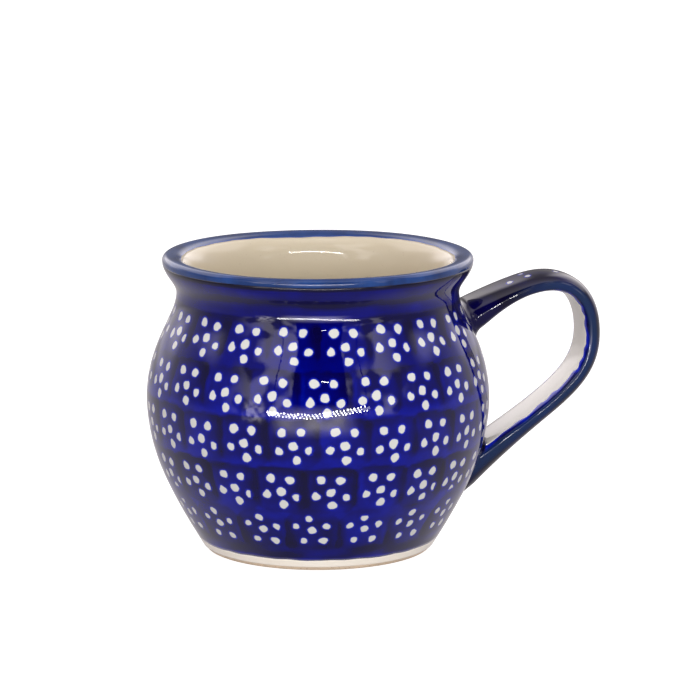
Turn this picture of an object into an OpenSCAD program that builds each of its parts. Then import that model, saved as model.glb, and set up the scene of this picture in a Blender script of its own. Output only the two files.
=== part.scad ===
// Round-bellied stoneware mug with a pulled strap handle and fired glaze coats.
// Millimetres. +Z is up, +X points at the handle, and the origin is the centre
// of the foot ring's resting plane. Every radius is measured from the Z axis.

/* [Outside of the cup] */
// Radius of the foot at the table
foot_radius = 31; // [29:0.25:33]
// Radius where the foot's straight taper turns into the belly
flare_radius = 34; // [33:0.25:35.5]
// Height of that turn
flare_height = 5.1; // [4:0.1:7]
// Widest radius of the belly
belly_radius = 46.5; // [44:0.25:49]
// Height of the widest point
belly_height = 41; // [38:0.5:44]
// Narrowest radius of the neck
neck_radius = 38.25; // [36:0.25:40]
// Height of the narrowest point
neck_height = 70.2; // [68:0.2:72]
// Widest radius of the lip
lip_radius = 42; // [40.5:0.25:44]
// Height of the lip's widest point
lip_height = 79; // [77:0.25:82]
// Radius of the rounded lip edge
lip_bead = 1.4; // [1:0.1:1.8]

/* [Inside of the cup] */
// Inner radius at the neck
mouth_radius = 34; // [32:0.25:35]
// Inner radius at the belly
hollow_radius = 42.2; // [40:0.2:43.5]
// Height of the inside floor
floor_height = 6; // [5:0.25:9]
// Radius of the flat part of the inside floor
floor_radius = 21; // [12:0.5:24]

/* [Foot] */
// Inner radius of the foot ring at the table
ring_radius = 26.6; // [24:0.2:28]
// Depth of the turned recess inside the foot ring
recess_depth = 2.5; // [1.5:0.1:3.2]
// Rounding of the foot's outer bottom edge
foot_edge = 0.8; // [0.4:0.1:1.2]

/* [Glaze] */
// Thickness of the fired coats
coat = 0.35; // [0.25:0.05:0.5]
// Height where the clear coat begins above the bare foot
bare_height = 1.1; // [0.9:0.1:1.8]
// Height where the cobalt coat begins
cobalt_start = 3.2; // [2.6:0.2:4.6]
// Height on the outside where the rim wash begins
rim_start = 78.2; // [75:0.2:78.5]
// Radius inside the mouth where the rim wash ends
rim_inner_radius = 36.9; // [36:0.1:38.5]

/* [Handle] */
// Radius at which the spine leaves the wall, top and bottom
root_radius = 40; // [38.5:0.25:40.5]
// Height of the upper root
upper_root_height = 59; // [58:0.25:60]
// Height of the lower root
lower_root_height = 19.2; // [18:0.2:21]
// Angle above or below level at which the spine leaves the wall
root_angle = 37; // [33:0.5:40]
// Distance of the spine's farthest point from the axis
reach = 76.1; // [72:0.25:80]
// Height of that farthest point
reach_height = 55.5; // [53:0.25:58]
// Width of the strap at its middle
strap_width = 14.5; // [13:0.25:17]
// Crown of the strap's outer face above the spine
crown = 3.25; // [2.6:0.05:4]
// Depth of the strap's inner face below the spine
belly = 2; // [1.6:0.05:2.6]

/* [Hidden] */
$fn = 96;

// Steps in each curve of the cup's outline
steps = 12;
// How far each curve of the outline runs on from its end before it bends
foot_pull = 10.6;
belly_pull_down = 14.5;
belly_pull_up = 15.2;
neck_pull_down = 7.2;
neck_pull_up = 3;
lip_pull = 3.5;
mouth_pull_out = 3.6;
mouth_pull_up = 8;
hollow_pull_up = 15;
hollow_pull_down = 16;
floor_pull = 13;

// Slope of the foot's taper, as radius gained for each unit of height
foot_slope = (flare_radius - foot_radius) / flare_height;
// Rise of the recess ceiling from its edge to its centre
recess_dome = 0.4;
// Width of the slope between the foot ring and the recess ceiling
recess_slope = 1.6;

function cubic(p, t) = pow(1 - t, 3) * p[0] + 3 * t * pow(1 - t, 2) * p[1]
    + 3 * t * t * (1 - t) * p[2] + pow(t, 3) * p[3];
function cubic_rate(p, t) = 3 * pow(1 - t, 2) * (p[1] - p[0])
    + 6 * t * (1 - t) * (p[2] - p[1]) + 3 * t * t * (p[3] - p[2]);
function curve(p, first = 1) = [for (k = [first:steps]) cubic(p, k / steps)];
function unit(v) = v / norm(v);
function clip(x) = min(max(x, 0), 1);

// Outline of the glazed cup, from the foot's outer edge over the lip to the floor's centre
flare = [flare_radius, flare_height];
widest = [belly_radius, belly_height];
neck = [neck_radius, neck_height];
lip_side = [lip_radius, lip_height];
lip_top = [lip_radius - lip_bead, lip_height + lip_bead];
mouth = [mouth_radius, neck_height];
hollow = [hollow_radius, belly_height];
floor_edge = [floor_radius, floor_height];
foot_edge_top = [foot_radius + foot_slope * bare_height, bare_height];

foot_curve = curve([foot_edge_top, foot_edge_top + [foot_slope, 1] * 0.8,
    flare - [foot_slope, 1] * 1.2, flare], 0);
outside_curve = concat(
    curve([flare, flare + unit([foot_slope, 1]) * foot_pull,
        widest - [0, belly_pull_down], widest]),
    curve([widest, widest + [0, belly_pull_up], neck - [0, neck_pull_down], neck]),
    curve([neck, neck + [0, neck_pull_up], lip_side - [0, lip_pull], lip_side]));
bead_curve = [for (a = [15:15:90])
    lip_side - [lip_bead, 0] + lip_bead * [cos(a), sin(a)]];
inside_curve = concat(
    curve([lip_top, lip_top - [mouth_pull_out, 0], mouth + [0, mouth_pull_up], mouth]),
    curve([mouth, mouth - [0, mouth_pull_up], hollow + [0, hollow_pull_up], hollow]),
    curve([hollow, hollow - [0, hollow_pull_down], floor_edge + [floor_pull, 0],
        floor_edge]),
    [[floor_radius / 2, floor_height], [0, floor_height]]);
skin = concat(foot_curve, outside_curve, bead_curve, inside_curve);
last = len(skin) - 1;

// The clay lies one coat below the skin
function inward(i) = let (d = unit(skin[min(i + 1, last)] - skin[max(i - 1, 0)])) [-d[1], d[0]];
clay = [for (i = [0:last]) skin[i] + coat * (i == last ? [0, -1] : inward(i))];

// First point of each coat in the outline
outside_end = len(foot_curve) + len(outside_curve) - 1;
cobalt_first = len([for (i = [0:outside_end]) if (skin[i][1] < cobalt_start) i]);
rim_first = len([for (i = [0:outside_end]) if (skin[i][1] < rim_start) i]);
mouth_end = outside_end + len(bead_curve) + steps;
rim_last = outside_end + len([for (i = [outside_end:mouth_end])
    if (skin[i][0] > rim_inner_radius) i]);

// Underside, from the axis out to the foot's outer edge
recess_edge = ring_radius - recess_slope;
underside_skin = [[0, recess_depth + recess_dome], [recess_edge / 2, recess_depth
    + recess_dome * 0.8], [recess_edge, recess_depth]];
underside_clay = [for (p = underside_skin) p + [0, coat]];
foot_ring = concat([[ring_radius, 0]],
    [for (a = [-90:22.5:-22.5]) [foot_radius - foot_edge, foot_edge]
        + foot_edge * [cos(a), sin(a)]]);

module outline_coat(from, to) {
    rotate_extrude()
        polygon(concat([for (i = [from:to]) skin[i]], [for (i = [to:-1:from]) clay[i]]));
}

// Strap handle: a spine in the XZ plane and a D-shaped section that swells at both roots.
// The spine runs from 0 at the upper root to 1 at the farthest point and 2 at the lower root.
root_pull = 30;
reach_pull_up = 15;
reach_pull_down = 13.5;
upper_swell = 1;
lower_swell = 0.7;
upper_swell_end = 0.29;
lower_swell_start = 1.6;
upper_root_extra_width = 1;
lower_root_extra_width = 1.5;
// Bluntness of the section's sides, crown and inner face: 1 is elliptical, 0 is square
side_bluntness = 0.8;
crown_bluntness = 0.9;
belly_bluntness = 0.6;
// Points around the section
around = 24;
// Where the strap meets its roots, along the spine
upper_joint = 0.13;
lower_joint = 1.7;
strap_steps = 24;
// Stations of a root, as fractions of the way from the wall to the strap
root_stations = [0, 0.05, 0.14, 0.28, 0.52, 1];
root_steps = len(root_stations) - 1;
// Fillet radii where the roots meet the wall: at the crown, the sides and the inner face
upper_fillet = [1.8, 2.8, 3.2];
lower_fillet = [0.8, 2.6, 1.2];
// Clearance between the clay roots and the coats and wall that they sit on
seat_gap = 0.04;
// Share of a root's footprint that passes through the coat to the clay wall
plug_share = 0.76;
plug_window = 0.78;

upper_spine = [[root_radius, upper_root_height],
    [root_radius, upper_root_height] + root_pull * [cos(root_angle), sin(root_angle)],
    [reach, reach_height + reach_pull_up], [reach, reach_height]];
lower_spine = [[reach, reach_height], [reach, reach_height - reach_pull_down],
    [root_radius, lower_root_height] + root_pull * [cos(root_angle), sin(root_angle)],
    [root_radius, lower_root_height]];

wall_table = [for (i = [0:outside_end]) [skin[i][1], skin[i][0]]];
function wall_radius(z) = lookup(z, wall_table);

function spine(u) = u < 0 ? upper_spine[0] + u * cubic_rate(upper_spine, 0)
    : u < 1 ? cubic(upper_spine, u)
    : u < 2 ? cubic(lower_spine, u - 1)
    : lower_spine[3] + (u - 2) * cubic_rate(lower_spine, 1);
function spine_dir(u) = unit(u < 1 ? cubic_rate(upper_spine, max(u, 0))
    : cubic_rate(lower_spine, min(u - 1, 1)));
function swell(u) = 1 + upper_swell * pow(clip(1 - u / upper_swell_end), 2)
    + lower_swell * pow(clip((u - lower_swell_start) / (2 - lower_swell_start)), 2);
function half_width(u) = (strap_width + upper_root_extra_width * clip(1 - u)
    + lower_root_extra_width * clip(u - 1)) / 2;
function blunt(x, power) = sign(x) * pow(abs(x), power);

// Point number j of the section at u, with the section grown outwards by extra
function strap_point(u, j, extra) =
    let (a = 360 * j / around, c = spine(u), d = spine_dir(u),
        side = (half_width(u) + extra) * blunt(cos(a), side_bluntness),
        lift = sin(a) > 0 ? (crown * swell(u) + extra) * blunt(sin(a), crown_bluntness)
            : (belly * swell(u) + extra) * blunt(sin(a), belly_bluntness))
    [c[0] - d[1] * lift, side, c[1] + d[0] * lift];

// Where line j of the strap pierces the wall, between an inside and an outside place
function in_wall(p) = norm([p[0], p[1]]) < wall_radius(p[2]);
function pierce(j, within, beyond, rounds) = rounds == 0 ? (within + beyond) / 2
    : let (m = (within + beyond) / 2)
    in_wall(strap_point(m, j, 0)) ? pierce(j, m, beyond, rounds - 1)
    : pierce(j, within, m, rounds - 1);
upper_pierce = [for (j = [0:around - 1]) pierce(j, -0.12, upper_joint, 16)];
lower_pierce = [for (j = [0:around - 1]) pierce(j, 2.2, lower_joint, 16)];

function on_wall(y, z, off) = [sqrt(pow(wall_radius(z) + off, 2) - y * y), y, z];
function fillet_radius(j, radii) = let (a = 360 * j / around)
    radii[1] * pow(cos(a), 2) + (sin(a) > 0 ? radii[0] : radii[2]) * pow(sin(a), 2);
function fillet_rise(r, d) = d < r ? r - sqrt(r * r - pow(r - d, 2)) : 0;

// Point j of a root at a station's share of the way from the wall to the strap
function root_point(j, share, pierced, joint, radii, extra) =
    let (r = fillet_radius(j, radii), u = pierced + (joint - pierced) * share,
        d = norm(spine(u) - spine(pierced)),
        p = strap_point(u, j, fillet_rise(r, d) + extra),
        foot = strap_point(pierced, j, r + extra),
        seat = on_wall(foot[1], foot[2], seat_gap))
    p + (seat - foot) * pow(clip(1 - d / (2 * r)), 2);

function upper_row(share, extra) = [for (j = [0:around - 1])
    root_point(j, share, upper_pierce[j], upper_joint, upper_fillet, extra)];
function lower_row(share, extra) = [for (j = [0:around - 1])
    root_point(j, share, lower_pierce[j], lower_joint, lower_fillet, extra)];
function strap_row(k, extra) = [for (j = [0:around - 1])
    strap_point(upper_joint + (lower_joint - upper_joint) * k / strap_steps, j, extra)];

// All rows of the handle's surface, wall to wall
function handle_rows(extra) = concat(
    [for (k = [0:root_steps - 1]) upper_row(root_stations[k], extra)],
    [for (k = [0:strap_steps]) strap_row(k, extra)],
    [for (k = [root_steps - 1:-1:0]) lower_row(root_stations[k], extra)]);
rows = 2 * root_steps + strap_steps;
handle_skin = handle_rows(0);
handle_clay = handle_rows(-coat);

// Rings across a root's seat: out on the coat, then a step down to the clay wall
seat_rings = [[0.88, seat_gap], [plug_share, seat_gap], [plug_share, seat_gap - coat],
    [0.5, seat_gap - coat], [0.25, seat_gap - coat]];
function mean_height(row) = [for (p = row) p[2]] * [for (p = row) 1] / len(row);
function shrunk(p, share, z0) = [p[1] * share, z0 + (p[2] - z0) * share];
function seat_row(row, ring) = let (z0 = mean_height(row))
    [for (p = row) let (q = shrunk(p, ring[0], z0)) on_wall(q[0], q[1], ring[1])];
function seat_centre(row) = on_wall(0, mean_height(row), seat_gap - coat);

function split(a, b, c, d) = [[a, b, c], [a, c, d]];
function at(i, j) = i * around + j % around;
// Skin of a stack of rows whose order runs away from the first end
function tube_faces(count) = [for (i = [0:count - 2], j = [0:around - 1])
    each split(at(i, j), at(i + 1, j), at(i + 1, j + 1), at(i, j + 1))];
function end_fan(i, tip, flip) = [for (j = [0:around - 1])
    flip ? [at(i, j + 1), at(i, j), tip] : [at(i, j), at(i, j + 1), tip]];

module row_solid(list, first_tip, last_tip) {
    count = len(list);
    points = concat([for (row = list) each row], [first_tip, last_tip]);
    polyhedron(points = points, faces = concat(tube_faces(count),
        end_fan(0, count * around, false), end_fan(count - 1, count * around + 1, true)));
}

function spine_tip(u) = let (c = spine(u)) [c[0], 0, c[1]];

// A coat is one layer of cells between the handle's skin and its clay
liner_first = root_steps;
liner_last = rows - 3;
liner_columns = [15, 21];
function lined(i, j) = i >= liner_first && i < liner_last
    && j % around >= liner_columns[0] && j % around < liner_columns[1];
function in_coat(i, j, liner) = i >= 0 && i < rows && lined(i, (j + around) % around) == liner;
function coat_cell(i, j, liner, n) =
    let (a = at(i, j), b = at(i, j + 1), c = at(i + 1, j + 1), d = at(i + 1, j))
    concat(split(a, d, c, b), split(n + a, n + b, n + c, n + d),
        in_coat(i, j - 1, liner) ? [] : split(d, a, n + a, n + d),
        in_coat(i, j + 1, liner) ? [] : split(b, c, n + c, n + b),
        in_coat(i - 1, j, liner) ? [] : split(a, b, n + b, n + a),
        in_coat(i + 1, j, liner) ? [] : split(c, d, n + d, n + c));

module handle_coat(liner) {
    n = (rows + 1) * around;
    polyhedron(points = concat([for (row = handle_skin) each row],
        [for (row = handle_clay) each row]),
        faces = [for (i = [0:rows - 1], j = [0:around - 1]) if (in_coat(i, j, liner))
            each coat_cell(i, j, liner, n)]);
}

// Opening in the cobalt coat through which a root is luted to the clay wall
module root_window(row) {
    z0 = mean_height(row);
    translate([belly_radius - 14, 0, 0])
        rotate([90, 0, 90])
            linear_extrude(16)
                polygon([for (p = row) shrunk(p, plug_window, z0)]);
}

module stoneware_body() {
    color("tan")
        rotate_extrude()
            polygon(concat(underside_clay, [underside_skin[2]], foot_ring, [skin[0]], clay));
}

module handle_strap() {
    color("burlywood")
        row_solid([for (i = [root_steps:root_steps + strap_steps]) handle_clay[i]],
            spine_tip(upper_joint), spine_tip(lower_joint));
}

module upper_root() {
    seat = handle_clay[0];
    color("peru")
        row_solid(concat([for (k = [len(seat_rings) - 1:-1:0]) seat_row(seat, seat_rings[k])],
            [for (i = [0:root_steps]) handle_clay[i]]),
            seat_centre(seat), spine_tip(upper_joint));
}

module lower_root() {
    seat = handle_clay[rows];
    color("peru")
        row_solid(concat([for (i = [rows - root_steps:rows]) handle_clay[i]],
            [for (ring = seat_rings) seat_row(seat, ring)]),
            spine_tip(lower_joint), seat_centre(seat));
}

module cobalt_glaze() {
    color("midnightblue")
        difference() {
            outline_coat(cobalt_first, rim_first);
            root_window(handle_clay[0]);
            root_window(handle_clay[rows]);
        }
}

module rim_glaze() {
    color("steelblue") outline_coat(rim_first, rim_last);
}

module liner_glaze() {
    color("ivory") outline_coat(rim_last, last);
}

module foot_glaze() {
    color("wheat") outline_coat(0, cobalt_first);
}

module underside_glaze() {
    color("linen")
        rotate_extrude()
            polygon(concat(underside_skin, [for (k = [2:-1:0]) underside_clay[k]]));
}

module handle_cobalt_glaze() {
    color("navy") handle_coat(false);
}

module handle_liner_glaze() {
    color("cornsilk") handle_coat(true);
}

stoneware_body();
handle_strap();
upper_root();
lower_root();
cobalt_glaze();
rim_glaze();
liner_glaze();
foot_glaze();
underside_glaze();
handle_cobalt_glaze();
handle_liner_glaze();
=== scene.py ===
import math

import bpy
import numpy as np
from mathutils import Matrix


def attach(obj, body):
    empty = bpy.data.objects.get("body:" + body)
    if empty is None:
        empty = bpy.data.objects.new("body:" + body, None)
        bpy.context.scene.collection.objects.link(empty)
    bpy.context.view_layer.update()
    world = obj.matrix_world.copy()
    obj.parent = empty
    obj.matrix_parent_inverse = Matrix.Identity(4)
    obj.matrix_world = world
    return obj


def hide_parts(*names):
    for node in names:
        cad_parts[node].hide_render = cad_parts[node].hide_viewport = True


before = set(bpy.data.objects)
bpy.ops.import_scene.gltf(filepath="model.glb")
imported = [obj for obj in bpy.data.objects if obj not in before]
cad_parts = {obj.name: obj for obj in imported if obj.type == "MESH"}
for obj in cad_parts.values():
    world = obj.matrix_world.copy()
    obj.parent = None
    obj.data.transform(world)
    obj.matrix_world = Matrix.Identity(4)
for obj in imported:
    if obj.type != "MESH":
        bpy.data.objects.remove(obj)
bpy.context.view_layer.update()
MM = 0.001
rng = np.random.default_rng(41)
scene = bpy.context.scene
scene.view_settings.view_transform = "Standard"

# ---------------------------------------------------------------- camera
HANDLE_TURN = 14.4  # degrees that the handle is turned away from the picture plane
turn = math.radians(HANDLE_TURN)
side, back, height = 8.67, 1000.0, 247.66  # the camera's place in millimetres: right, towards the viewer, up
look_down, focal_length, sensor_width = 10.97, 192.97, 36
cam_data = bpy.data.cameras.new("camera")
cam_data.sensor_width = sensor_width
cam_data.lens = focal_length
cam_data.clip_start, cam_data.clip_end = 0.05, 50
camera = bpy.data.objects.new("camera", cam_data)
camera.location = (
    (side * math.cos(turn) - back * math.sin(turn)) * MM,
    (-side * math.sin(turn) - back * math.cos(turn)) * MM,
    height * MM,
)
camera.rotation_euler = (math.radians(90 - look_down), 0.0, -turn)
scene.collection.objects.link(camera)
scene.camera = camera


def facing(azimuth, elevation, distance):
    """A point in metres. Azimuth 0 is towards the camera and 90 is to its right."""
    a, e = math.radians(azimuth) - math.pi / 2 - turn, math.radians(elevation)
    return (
        distance * math.cos(a) * math.cos(e),
        distance * math.sin(a) * math.cos(e),
        distance * math.sin(e),
    )


# ---------------------------------------------------------------- shape, as in part.scad
foot_radius, flare_radius, flare_height = 31.0, 34.0, 5.1
belly_radius, belly_height = 46.5, 41.0
neck_radius, neck_height = 38.25, 70.2
lip_radius, lip_height, lip_bead = 42.0, 79.0, 1.4
mouth_radius, hollow_radius = 34.0, 42.2
floor_height, floor_radius = 6.0, 21.0
ring_radius, recess_depth, foot_edge = 26.6, 2.5, 0.8
coat, bare_height = 0.35, 1.1
foot_slope = (flare_radius - foot_radius) / flare_height


def cubic(p, t):
    """Points on the cubic curve with the four poles p."""
    p = np.array(p, float)
    t = np.asarray(t, float)[..., None]
    return (1 - t) ** 3 * p[0] + 3 * t * (1 - t) ** 2 * p[1] + 3 * t**2 * (1 - t) * p[2] + t**3 * p[3]


def cubic_rate(p, t):
    """How fast and which way that curve runs."""
    p = np.array(p, float)
    t = np.asarray(t, float)[..., None]
    return 3 * (1 - t) ** 2 * (p[1] - p[0]) + 6 * t * (1 - t) * (p[2] - p[1]) + 3 * t**2 * (p[3] - p[2])


def run(points, *pulls):
    """A dense curve from points[0] to points[1], leaving and arriving along the pulls."""
    a, b = np.array(points[0], float), np.array(points[1], float)
    return cubic([a, a + pulls[0], b + pulls[1], b], np.linspace(0, 1, 60))


up = np.array([foot_slope, 1.0])
edge_top = (foot_radius + foot_slope * bare_height, bare_height)
flare, widest = (flare_radius, flare_height), (belly_radius, belly_height)
neck, lip_side = (neck_radius, neck_height), (lip_radius, lip_height)
lip_top = (lip_radius - lip_bead, lip_height + lip_bead)
mouth, hollow = (mouth_radius, neck_height), (hollow_radius, belly_height)
floor_rim = (floor_radius, floor_height)
arc = np.radians(np.linspace(0, 90, 30))
pieces = [
    run((edge_top, flare), up * 0.8, -up * 1.2),
    run((flare, widest), up / np.linalg.norm(up) * 10.6, (0, -14.5)),
    run((widest, neck), (0, 15.2), (0, -7.2)),
    run((neck, lip_side), (0, 3.0), (0, -3.5)),
    np.array([lip_radius - lip_bead, lip_height]) + lip_bead * np.c_[np.cos(arc), np.sin(arc)],
    run((lip_top, mouth), (-3.6, 0), (0, 8)),
    run((mouth, hollow), (0, -8), (0, 15)),
    run((hollow, floor_rim), (0, -16), (13, 0)),
    np.array([floor_rim, (0, floor_height)], float),
]
outline = np.vstack([pieces[0]] + [p[1:] for p in pieces[1:]])
steps = np.linalg.norm(np.diff(outline, axis=0), axis=1)
along = np.concatenate([[0], np.cumsum(steps)])  # distance along the outline from the foot
TOTAL = along[-1]


def at(s):
    """Radius and height of the glazed skin at a distance along the outline."""
    s = np.clip(s, 0, TOTAL)
    return np.interp(s, along, outline[:, 0]), np.interp(s, along, outline[:, 1])


def inward(s):
    """Unit vector from the skin into the clay."""
    half_step = 0.3
    r0, z0 = at(np.asarray(s) - half_step)
    r1, z1 = at(np.asarray(s) + half_step)
    n = np.hypot(r1 - r0, z1 - z0)
    return -(z1 - z0) / n, (r1 - r0) / n


crest = float(along[np.argmax(outline[:, 1])])
outside = along <= crest


def s_of_height(z):
    """Distance along the outside of the outline at a height."""
    return float(np.interp(z, outline[outside, 1], along[outside]))


def wall_radius(z):
    """Radius of the outside at a height."""
    return np.interp(z, outline[outside, 1], outline[outside, 0])


# ---------------------------------------------------------------- mesh tools
def waves(angle, count, size, seed):
    """A closed, seeded ripple around the cup."""
    g = np.random.default_rng(seed)
    total = np.zeros_like(angle)
    for k in count:
        total = total + g.normal() * np.cos(k * angle + g.uniform(0, 2 * math.pi)) / math.sqrt(len(count))
    return total * size


def make(name, points, faces, fields=None):
    """A smooth mesh object from points in millimetres, with its named point fields."""
    mesh = bpy.data.meshes.new(name)
    mesh.from_pydata((np.asarray(points) * MM).tolist(), [], faces)
    for key, values in (fields or {}).items():
        layer = mesh.attributes.new(key, "FLOAT", "POINT")
        layer.data.foreach_set("value", np.asarray(values, np.float32).ravel())
    mesh.validate()
    mesh.polygons.foreach_set("use_smooth", [True] * len(mesh.polygons))
    obj = bpy.data.objects.new(name, mesh)
    scene.collection.objects.link(obj)
    return obj


def grid_faces(rows, cols, wrap_rows):
    """Four-sided faces over rows of points that close round the columns."""
    i = np.arange(rows if wrap_rows else rows - 1)[:, None]
    j = np.arange(cols)[None, :]
    a, b = i * cols + j, i * cols + (j + 1) % cols
    c, d = ((i + 1) % rows) * cols + (j + 1) % cols, ((i + 1) % rows) * cols + j
    return np.stack([a, b, c, d], -1).reshape(-1, 4).tolist()


def wobble(angle, s):
    """How far the thrown wall strays from a true revolve, in millimetres."""
    return (
        0.05 * np.cos(2 * angle + 0.6)
        + 0.035 * np.cos(3 * angle + s / 23)
        + 0.03 * np.cos(5 * angle - s / 17 + 1.1)
        + 0.03 * np.sin(s / 3.1 + 0.8 * np.cos(angle + 0.4))
    )


def ring_points(s, angle, depth):
    """Points of the cup's skin at distance s and angle, moved depth into the clay."""
    r, z = at(s)
    nr, nz = inward(s)
    # the wobble fades out at the axis and on the foot ring
    fade = np.clip((r - 2) / 20, 0, 1) * np.clip((z - 1) / 6, 0, 1)
    push = depth - wobble(angle, s) * fade
    r, z = np.maximum(r + nr * push, 0), z + nz * push
    return np.stack([r * np.cos(angle), r * np.sin(angle), z], -1)


def angles(cols):
    return np.arange(cols) * 2 * math.pi / cols


def coat_shell(start, end, rows, cols, back_rows):
    """A closed coat between two edges; each edge is a distance that may vary round the cup."""
    a = angles(cols)
    s0, s1 = np.broadcast_to(start, cols), np.broadcast_to(end, cols)
    t = rows[:, None]
    front = s0 * (1 - t) + s1 * t
    b = np.linspace(1, 0, back_rows)[:, None]
    behind = s0 * (1 - b) + s1 * b
    pts = np.concatenate([ring_points(front, a, 0 * front), ring_points(behind, a, coat + 0 * behind)])
    n = len(pts)
    return pts.reshape(-1, 3), grid_faces(n, cols, True), front, np.broadcast_to(a, front.shape)


def capped(rows_points, cols):
    """A closed skin over a stack of rings, with a fan over the first ring and another over the last."""
    rows = len(rows_points)
    pts = rows_points.reshape(-1, 3)
    first, last = rows_points[0].mean(0), rows_points[-1].mean(0)
    faces = grid_faces(rows, cols, False)
    n = len(pts)
    faces += [[(j + 1) % cols, j, n] for j in range(cols)]
    base = (rows - 1) * cols
    faces += [[base + j, base + (j + 1) % cols, n + 1] for j in range(cols)]
    return np.vstack([pts, first, last]), faces


# ---------------------------------------------------------------- stamped decoration
# Six dots of one stamp: right, up and radius in millimetres, then a pointed corner's angle and length
STAMP = [
    (0.0, 0.0, 1.36, 0.9, 0.14),
    (-2.75, 3.85, 1.33, -0.6, 0.12),
    (2.4, 3.7, 1.26, -1.2, 0.08),
    (-3.85, -1.25, 1.20, 1.65, 0.34),
    (4.2, -1.45, 1.20, 2.2, 0.05),
    (0.6, -3.95, 1.30, 1.9, 0.13),
]
# Each row: height, number of stamps, angle of the stamp nearest the front, stretch, turned over
ROWS = [
    (62.4, 19, -8.6, -0.008, False),
    (49.9, 21, 2.7, 0.015, False),
    (37.0, 22, -7.5, 0.023, False),
    (24.2, 21, 5.0, 0.021, False),
    (12.8, 17, -1.4, -0.023, True),
]
PAD = (8.4, 7.5, 7.4, 8.0)  # the stamp's pad: left, right, top and bottom reach
PAD_SCALE, STAMP_REACH = 7.8, 11.5  # the pad's mean reach, and how far from its middle a stamp is worked out
NO_DOT = 9.0  # a distance that is clear of every dot
SQUARENESS = (3.2, 6.0)  # of the pad's foot and top: 2 is an oval, and a large value is a rectangle


def blob(u, v, dot, g):
    """Signed distance to a hand-printed dot, negative inside."""
    x, y, radius, corner, length = dot
    u, v = u - x, v - y
    phi = np.arctan2(v, u)
    wave = 1 + 0.05 * np.cos(2 * phi + g[0]) + 0.04 * np.cos(3 * phi + g[1]) + 0.03 * np.cos(4 * phi + g[2])
    off = (phi - corner - 0.25 * math.cos(g[0]) + math.pi) % (2 * math.pi) - math.pi
    wave = wave + length * (0.8 + 0.3 * math.cos(g[1])) * np.exp(-((off / 0.38) ** 2))
    return np.hypot(u, v) - radius * (0.98 + 0.05 * math.cos(g[2])) * wave


def stamps():
    """Every stamp of every row, each a little out of place."""
    out = []
    for z, count, phase, stretch, flip in ROWS:
        s0 = s_of_height(z)
        for k in range(count):
            t = (phase / 360 + k / count) * 2 * math.pi
            front = t + stretch * math.sin(t)
            out.append(
                dict(
                    angle=front - math.pi / 2 - turn + rng.normal() * 0.004,
                    s=s0 + rng.normal() * 0.16,
                    tilt=rng.normal() * 0.035 + (math.pi if flip else 0),
                    body=rng.uniform(0.82, 1.12),
                    shrink=0.22 if flip else 0.08,
                    g=rng.uniform(0, 2 * math.pi, 40),
                )
            )
    return out


def local(stamp, angle, s, radius):
    """Places right of and above a stamp's middle, in the stamp's own directions."""
    d = (angle - stamp["angle"] + math.pi) % (2 * math.pi) - math.pi
    u, v = d * radius, s - stamp["s"]
    c, n = math.cos(stamp["tilt"]), math.sin(stamp["tilt"])
    return u * c + v * n, -u * n + v * c


def pad_distance(stamp, u, v):
    """Rough distance to the pad's edge, negative inside."""
    g = stamp["g"]
    phi = np.arctan2(v, u)
    a = np.where(u < 0, PAD[0], PAD[1])
    b = np.where(v > 0, PAD[2], PAD[3])
    wave = 0.022 * np.cos(3 * phi + g[30]) + 0.016 * np.cos(5 * phi + g[31]) + 0.01 * np.cos(11 * phi + g[32])
    power = SQUARENESS[0] + (SQUARENESS[1] - SQUARENESS[0]) * soft(v, -1.0, 3.0)
    return ((np.abs(u / a) ** power + np.abs(v / b) ** power) ** (1 / power) - 1 - wave) * PAD_SCALE


def holes_distance(stamp, u, v):
    """Signed distance to the nearest dot of a stamp."""
    best = np.full_like(u, np.inf)
    for k, dot in enumerate(STAMP):
        best = np.minimum(best, blob(u, v, dot, stamp["g"][3 * k : 3 * k + 3]))
    return best + stamp["shrink"]


def soft(x, lo, hi):
    """A smooth step from 0 at lo to 1 at hi."""
    t = np.clip((x - lo) / (hi - lo), 0, 1)
    return t * t * (3 - 2 * t)


def pad_cover(u, v, pad):
    """How fully a print covers a point: crisp along its top and right, faded along its foot and left."""
    fade = 0.36 + 0.9 * soft(-v, 3.0, 7.0) + 0.5 * soft(-u, 4.5, 8.0) * (1 - soft(v, 2.0, 5.0))
    return np.clip(0.5 - (pad + 0.3 * fade) / (2 * fade), 0, 1)


def pad_tone(g, u, v):
    """How much colour one print leaves: most at its upper right, least along its foot and left."""
    tone = 1.62 + 0.14 * np.cos(u / 2.6 + g[20]) * np.cos(v / 2.9 + g[21])
    tone = tone - 0.42 * soft(-v, 2.4, 5.4) * (1 + 0.3 * math.cos(g[22]))
    tone = tone - 0.20 * soft(-u, 4.4, 6.0) * soft(v, -3.0, 0.5) * (1 + 0.6 * math.cos(g[23]))
    tone = tone + 0.26 * soft(u, 2.2, 4.8) * soft(v, -1.0, 2.5) * (1 + 0.6 * math.cos(g[24]))
    return tone + 0.22 * soft(v, 3.0, 7.0)


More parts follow.
